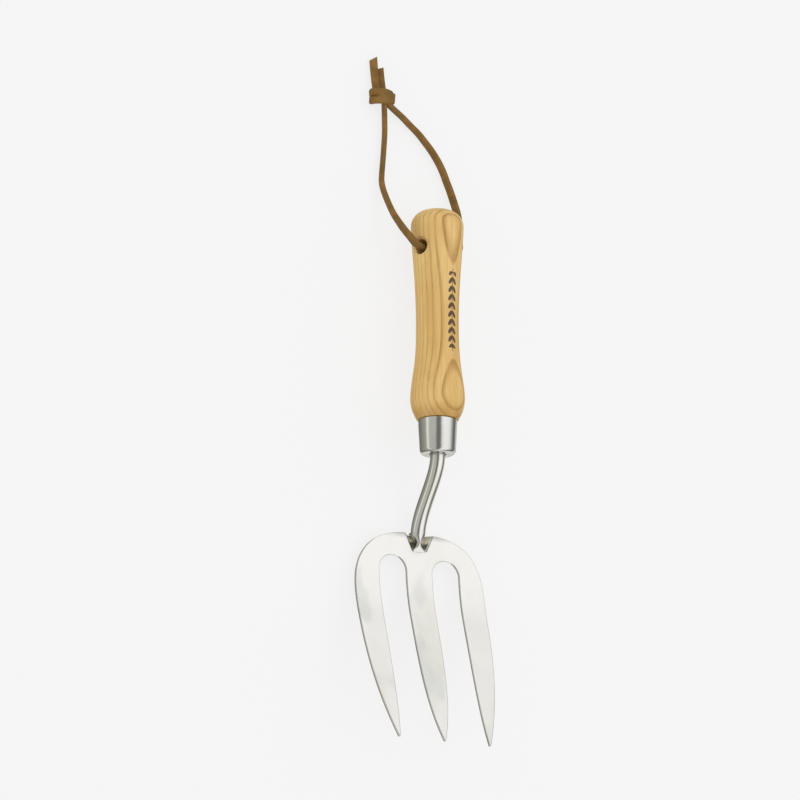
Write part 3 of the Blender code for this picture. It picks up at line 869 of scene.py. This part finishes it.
def half_outline():
    """The right half of the flat pattern, from the middle of the top edge to the middle point."""
    slot_middle = MIDDLE_TINE_HALF_WIDTH + SLOT_RADIUS
    slot_start = SLOT_TOP + SLOT_RADIUS
    tip_at = HEAD_LENGTH - TIP_RADIUS
    shoulder_steps = 48
    outline = []
    for step in range(shoulder_steps + 1):
        turn = pi / 2 * step / shoulder_steps
        across = HEAD_HALF_WIDTH * sin(turn) ** (2 / SHOULDER_POWER)
        outline.append((across, WIDEST_AT * (1 - cos(turn) ** (2 / SHOULDER_POWER))))
    outline += tine_edge(WIDEST_AT, HEAD_HALF_WIDTH, TINE_SPACING + TIP_RADIUS, SIDE_POWER, 44)
    outline += arc((TINE_SPACING, tip_at), TIP_RADIUS, 0, pi, 10)[1:-1]
    inner_tip = TINE_SPACING - TIP_RADIUS
    outline += tine_edge(slot_start, slot_middle + SLOT_RADIUS, inner_tip, INNER_POWER, 40)[::-1]
    outline += arc((slot_middle, slot_start), SLOT_RADIUS, 0, -pi, 32)
    outline += tine_edge(slot_start, MIDDLE_TINE_HALF_WIDTH, TIP_RADIUS, MIDDLE_POWER, 40)
    outline += arc((0, tip_at), TIP_RADIUS, 0, pi / 2, 5)[1:]
    return outline


def rim_distance(places, outline):
    """How far each place on the flat pattern is from the outline."""
    start = np.array(outline)
    run = np.roll(start, -1, axis=0) - start
    gap = places[:, None, :] - start[None]
    share = np.clip((gap * run).sum(2) / (run * run).sum(1), 0, 1)
    return np.linalg.norm(gap - share[:, :, None] * run, axis=2).min(1)


def score(at, normal, everywhere=True):
    """Cuts the sheet, or its selected part, along a straight line."""
    if everywhere:
        bpy.ops.mesh.select_all(action="SELECT")
    bpy.ops.mesh.bisect(plane_co=(*at, 0), plane_no=(*normal, 0), threshold=MERGE)


def flat_pattern():
    """The head's flat pattern, a disc drawn to the outline with its rim inset, and the outline."""
    right = half_outline()
    outline = right + [(-across, along) for across, along in right[-2:0:-1]]
    deselect()
    bpy.ops.mesh.primitive_circle_add(vertices=len(outline), fill_type="NGON")
    sheet = named("fork_blade")
    for vert, (across, along) in zip(sheet.data.vertices, outline):
        vert.co = (across, along, 0)
    edit(sheet, "FACE")
    for width in RIM_INSETS:
        bpy.ops.mesh.inset(thickness=width * EDGE_ROUND, use_even_offset=True)
    leave_edit()
    return sheet, outline


def score_sheet(sheet):
    """Scores the sheet across for its bend, and finely both ways where the trough is pressed."""
    edit(sheet)
    for along in np.arange(CROWN_LENGTH - SCORE_SPACING, HEAD_LENGTH, SCORE_SPACING):
        score((0, along), (0, 1))
    reach = TROUGH_HALF_WIDTH + TROUGH_MARGINS[0]
    end = TROUGH_LENGTH + TROUGH_MARGINS[1]
    score((0, end), (0, 1))
    for side in (-1, 1):
        score((side * reach, 0), (1, 0))

    def choose_trough():
        leave_edit()
        for face in sheet.data.polygons:
            face.select = abs(face.center.x) < reach and face.center.y < end
        bpy.ops.object.mode_set(mode="EDIT")

    slant = TROUGH_HALF_WIDTH - TROUGH_FLOOR
    for side in (-1, 1):
        for beside in WALL_SCORES:
            choose_trough()
            score((side * (TROUGH_HALF_WIDTH + beside), 0), (TROUGH_LENGTH, side * slant), False)
    for across in np.arange(-reach + TROUGH_SPACING, reach, TROUGH_SPACING):
        choose_trough()
        score((across, 0), (1, 0), False)
    for along in np.arange(TROUGH_SPACING, end, TROUGH_SPACING):
        choose_trough()
        score((0, along), (0, 1), False)
    leave_edit()


def rim_round(sheet, outline):
    """Gives the flat sheet two faces that meet in a rounded rim, and bends it into shape."""
    mesh = sheet.data
    places = np.zeros(len(mesh.vertices) * 3)
    mesh.vertices.foreach_get("co", places)
    places = places.reshape(-1, 3)[:, :2]
    inside = np.clip(1 - rim_distance(places, outline) / EDGE_ROUND, 0, 1)
    lifts = np.where(inside > 0.99, 0, HEAD_THICKNESS / 2 * np.sqrt(1 - inside**2))
    edit(sheet)
    bpy.ops.mesh.duplicate_move(TRANSFORM_OT_translate={"value": (0, 0, 1)})
    leave_edit()
    count = len(places)
    for index, vert in enumerate(mesh.vertices):
        across, along = places[index % count]
        lift = lifts[index % count]
        vert.co = head_place(across, along, lift if index < count else -lift)
    face_outwards(sheet)


def add_head(steel):
    sheet, outline = flat_pattern()
    score_sheet(sheet)
    rim_round(sheet, outline)
    sheet.data.transform(LAID)
    smooth(sheet, radians(50))
    return finished(sheet, steel, "tool", "polished_steel", "fork_head")


# ---------------------------------------------------------------- stem


def ring(station, depth, lean, half_width, half_height):
    """An oval section of the stem, square with a path that leans back by an angle."""
    points = []
    for side in range(STEM_SIDES):
        turn = 2 * pi * side / STEM_SIDES
        across = half_width * cos(turn)
        up = half_height * sin(turn)
        points.append((across, -station - up * sin(lean), -depth + up * cos(lean)))
    return points


def tang_rings():
    spigot_end = HANDLE_LENGTH + SPIGOT_LENGTH
    tip = spigot_end - TANG_LENGTH
    collar = HANDLE_LENGTH + FERRULE_LENGTH - FERRULE_WALL - GAP
    stops = (
        (tip, TANG_POINT_RADIUS),
        (tip + TANG_POINT_LENGTH, TANG_TIP_RADIUS),
        (spigot_end, TANG_RADIUS),
        (collar - COLLAR_LENGTH, COLLAR_START_RADIUS),
        (collar, NECK_RADIUS),
    )
    return [ring(station, 0, 0, radius, radius) for station, radius in stops]


def neck_rings():
    start = Vector((HANDLE_LENGTH + FERRULE_LENGTH, 0))
    end = Vector((HEAD_TOP, FOOT_DEPTH))
    leave = start + Vector((NECK_LEAD, 0))
    arrive = end - Vector((NECK_RUN, NECK_RISE))
    path = interpolate_bezier(start, leave, arrive, end, NECK_STEPS)
    rings = []
    for here, point in enumerate(path):
        before = path[max(here - 1, 0)]
        after = path[min(here + 1, len(path) - 1)]
        lean = atan2(after.y - before.y, after.x - before.x)
        rings.append(ring(point.x, point.y, lean, NECK_RADIUS, NECK_RADIUS))
    return rings


def foot_rings():
    """The foot sinks into the trough as a ridge that narrows, then fans out into the plate."""
    plate_front = HEAD_SET_BACK - HEAD_THICKNESS / 2
    stops = ((0, NECK_RADIUS), (RIDGE_AT, RIDGE_HALF_WIDTH), (1, FOOT_END_HALF_WIDTH))
    rings = []
    for step in range(1, FOOT_STEPS + 1):
        share = FOOT_REACH * step / FOOT_STEPS
        floor = plate_front + TROUGH_DEPTH * (1 - share)
        front = FOOT_DEPTH - NECK_RADIUS
        front += (plate_front - FOOT_PROUD - front) * sin(pi / 2 * share) ** 0.9
        half_height = max(FOOT_LEAST_HALF_HEIGHT, (floor + FOOT_CLEAR - front) / 2)
        half_width = between(stops, share)
        depth = front + half_height
        station = HEAD_TOP + TROUGH_LENGTH * share
        rings.append(ring(station, depth, 0, half_width, half_height))
    return rings


def add_stem(steel):
    stem = drawn_out("swan_neck_stem", tang_rings() + neck_rings() + foot_rings())
    stem.data.transform(LAID)
    smooth(stem)
    return finished(stem, steel, "tool", "polished_steel", "neck_stem")


def add_weld(steel):
    """A rippled fillet round the back of the neck, on the trough's rim."""
    steps = WELD_RIPPLES * RIPPLE_STEPS
    inner = NECK_RADIUS + GAP / 2
    rim = HEAD_TOP - GAP / 3
    rings = []
    for step in range(steps + 1):
        swing = WELD_SPREAD * (2 * step / steps - 1)
        turn = swing - pi / 2
        ripple = 1 + RIPPLE_HEIGHT * abs(sin(pi * WELD_RIPPLES * step / steps))
        ending = sqrt(max(0.02, 1 - (2 * step / steps - 1) ** 8))
        leg = WELD_LEG * (0.35 + 0.65 * cos(swing)) * ripple * ending
        section = [(inner, rim)]
        for k in range(WELD_BOW_STEPS + 1):
            out, back = leg * (1 - k / WELD_BOW_STEPS), leg * k / WELD_BOW_STEPS
            swell = 1 + WELD_BOW * out * back / leg**2
            section.append((inner + out * swell, rim - back * swell))
        rings.append([
            (radius * cos(turn), -station, -FOOT_DEPTH + radius * sin(turn))
            for radius, station in section
        ])
    weld = drawn_out("weld_bead", rings)
    weld.data.transform(LAID)
    smooth(weld, radians(60))
    return finished(weld, steel, "tool", "polished_steel", "head_weld")


# ---------------------------------------------------------------- thong


def from_hole(place):
    """Where a place of the thong is when the tool lies on the floor."""
    return Vector((HOLE.x + place[0], HOLE.y + place[1], place[2]))


def directions(points):
    """The way a lace runs at each of its points."""
    last = len(points) - 1
    return [
        (points[min(here + 1, last)] - points[max(here - 1, 0)]).normalized()
        for here in range(len(points))
    ]


def strap_section(width, thickness):
    """A rectangle with round corners, as (across, over) pairs."""
    section = []
    for side in range(LACE_SIDES):
        turn = 2 * pi * side / LACE_SIDES
        across, over = cos(turn), sin(turn)
        across = abs(across) ** (2 / LACE_CORNER_POWER) * (1 if across > 0 else -1)
        over = abs(over) ** (2 / LACE_CORNER_POWER) * (1 if over > 0 else -1)
        section.append((width / 2 * across, thickness / 2 * over))
    return section


def strap_rings(points, leans, width=LACE_WIDTH):
    """Sections of a lace along points. A lean of 0 stands its width upright."""
    section = strap_section(width, LACE_THICKNESS)
    rings = []
    for here, (point, run) in enumerate(zip(points, directions(points))):
        up = Vector((0, 0, 1))
        up = (up - run * run.dot(up)).normalized()
        side = run.cross(up)
        lean = between(leans, here / (len(points) - 1))
        across = up * cos(lean) + side * sin(lean)
        over = run.cross(across)
        rings.append([point + across * a + over * b for a, b in section])
    return rings


def add_strand(name, node, places, leans, hide):
    points = [from_hole(place) for place in smooth_through(places, 6 * len(places))]
    strand = drawn_out(name, strap_rings(points, leans))
    smooth(strand, radians(50))
    finished(strand, hide, "thong", "leather", node)
    return strand, points


def add_tail(name, node, places, shape, hide):
    """A lace end cut off slanting."""
    lean, width, cut = shape
    points = [from_hole(place) for place in smooth_through(places, TAIL_STEPS)]
    rings = strap_rings(points, ((0, lean), (1, lean)), width=width)
    run = (points[-1] - points[-2]).normalized()
    for index, corner in enumerate(rings[-1]):
        sideways = (corner - points[-1]).x / (width / 2)
        rings[-1][index] = corner + run * cut * sideways
    tail = drawn_out(name, rings)
    smooth(tail, radians(40))
    return finished(tail, hide, "thong", "leather", node)


def knot_wraps():
    """The lace's two turns round its own strands: places from the knot's middle, and widths."""
    thick = LACE_THICKNESS / 2
    wraps = []
    for step in range(WRAP_STEPS + 1):
        share = step / WRAP_STEPS
        turn = WRAP_START - 4 * pi * share
        rise = min(1.0, max(-1.0, 4 * share - 1.65))
        right = 1 + cos(turn)
        over = right * (1 - rise) / 2  # where the first turn is pulled over the second
        under = right * (1 + rise) / 2
        x = (KNOT_HALF_WIDTH - thick - KNOT_CLEAR) * cos(turn) - 0.0009 * under
        y = WRAP_RISE * rise * (1 - (0.26 - 0.10 * rise) * right) + 0.0005 * over
        z = (KNOT_HALF_HEIGHT - thick) * sin(turn) * (1 - 0.06 * under)
        wraps.append((Vector((x, y, z)), LACE_WIDTH * (0.96 + 0.24 * over)))
    return wraps


def add_knot(hide):
    middle = from_hole((*KNOT_AT, KNOT_HALF_HEIGHT + KNOT_CLEAR))
    wraps = knot_wraps()
    points = [middle + place for place, _ in wraps]
    rings = []
    for here, (point, run) in enumerate(zip(points, directions(points))):
        out = point - middle
        out.y = 0
        out = (out - run * run.dot(out)).normalized()
        across = run.cross(out)
        tuck = min(1.0, 0.4 + min(here, WRAP_STEPS - here) / 5)  # hides the ends in the knot
        rings.append([
            point - out * 0.0009 * (1 - tuck) + across * a * tuck + out * b * tuck
            for a, b in strap_section(wraps[here][1], WRAP_THICKNESS)
        ])
    knot = drawn_out("overhand_knot", rings)
    smooth(knot, radians(50))
    return finished(knot, hide, "thong", "leather", "thong_knot")


def length_of(points):
    return sum((there - here).length for here, there in zip(points, points[1:]))


def add_thong(hide):
    knot = add_knot(hide)
    left, left_path = add_strand(
        "left_lace", "thong_left_strand", LEFT_STRAND + (LEFT_IN_KNOT,), LEFT_LEANS, hide
    )
    right, right_path = add_strand(
        "right_lace", "thong_right_strand", RIGHT_STRAND + (RIGHT_IN_KNOT,), RIGHT_LEANS, hide
    )
    long_places = (LONG_IN_KNOT,) + LONG_TAIL
    long_tail = add_tail("long_lace_end", "thong_long_tail", long_places, LONG_TAIL_SHAPE, hide)
    short_places = (SHORT_IN_KNOT,) + SHORT_TAIL
    short_tail = add_tail(
        "short_lace_end", "thong_short_tail", short_places, SHORT_TAIL_SHAPE, hide
    )
    length_of(left_path)
    length_of(right_path)


# ---------------------------------------------------------------- studio


FLOOR_SIZE = 6
PAPER_GREY = (0.14, 0.14, 0.14)
PAPER_GLOW = (0.78, 0.78, 0.78)
SKY_GREY = (0.94, 0.94, 0.94)
KEY_AT = (0.9, 0.6, 1.7)
KEY_SIZE = 1.2
KEY_POWER = 3

# What polished steel mirrors: (angle from overhead towards +X in degrees, brightness)
SURROUNDINGS = (
    (-180, 0.15),
    (-112, 0.34),
    (-104, 0.36),
    (-99, 0.85),
    (-90, 0.85),
    (-84, 0.46),
    (-42, 0.50),
    (-36, 0.13),
    (-12, 0.14),
    (-4, 0.88),
    (10, 1.0),
    (32, 1.0),
    (54, 0.84),
    (64, 0.38),
    (82, 0.14),
    (98, 0.10),
    (108, 0.85),
    (180, 0.95),
)


def add_floor():
    deselect()
    bpy.ops.mesh.primitive_plane_add(size=FLOOR_SIZE)
    floor = named("floor")
    paper = Finish(
        "lit_paper",
        Base_Color=(*PAPER_GREY, 1),
        Roughness=0.95,
        Specular_IOR_Level=0.0,
        Emission_Color=(*PAPER_GLOW, 1),
        Emission_Strength=1.0,
    )
    coat(floor, paper.material)
    floor.visible_glossy = False


def add_camera():
    data = bpy.data.cameras.new("camera")
    data.sensor_width = 36
    data.lens = LENS
    camera = bpy.data.objects.new("camera", data)
    bpy.context.scene.collection.objects.link(camera)
    turn = Matrix((CAMERA_RIGHT, CAMERA_UP, CAMERA_BACK)).transposed()
    camera.matrix_world = Matrix.Translation(CAMERA_AT) @ turn.to_4x4()
    bpy.context.scene.camera = camera


def add_surroundings():
    """Soft light from everywhere. Polished steel mirrors a studio with bright and dark strips."""
    world = bpy.data.worlds.new("studio")
    bpy.context.scene.world = world
    world.use_nodes = True
    sky = Pattern(world.node_tree)
    x, _, z = sky.parts(sky.add("ShaderNodeTexCoord", {}, {}, "Generated"))
    turn = x.maths("ARCTAN2", x, z) * (0.5 / pi) + 0.5
    strips = [
        (0.5 + angle / 360, (light, light, light * (0.85 + 0.15 * light)))
        for angle, light in SURROUNDINGS
    ]
    mirrored = sky.add("ShaderNodeLightPath", {}, {}, "Is Glossy Ray")
    colour = sky.blend(mirrored, SKY_GREY, sky.ramp(turn, *strips))
    sky.put(sky.tree.nodes["Background"].inputs["Color"], colour)


def add_key_light():
    data = bpy.data.lights.new("key", "AREA")
    data.shape = "DISK"
    data.size = KEY_SIZE
    data.energy = KEY_POWER
    light = bpy.data.objects.new("key", data)
    bpy.context.scene.collection.objects.link(light)
    light.location = KEY_AT
    light.rotation_euler = (-Vector(KEY_AT)).to_track_quat("-Z", "Y").to_euler()
    light.visible_glossy = False


def add_studio():
    add_floor()
    add_camera()
    add_surroundings()
    add_key_light()
    scene = bpy.context.scene
    scene.view_settings.view_transform = "Standard"
    scene.view_settings.look = "None"


# ---------------------------------------------------------------- building


add_studio()
add_thong(leather())
wood = ash()
steel = polished_steel("polished_steel")
# The head and the weld get the heat tint in the trough and the painted shade in its pit and along the top edge.
head_steel = polished_steel("heat_tinted_and_shaded_steel", heat_tint_and_shade=1.0)
add_handle(wood)
add_ferrule(steel)
add_stem(steel)
add_head(head_steel)
add_weld(head_steel)
coat(frame["nodes"]["tang_adhesive"], resin())
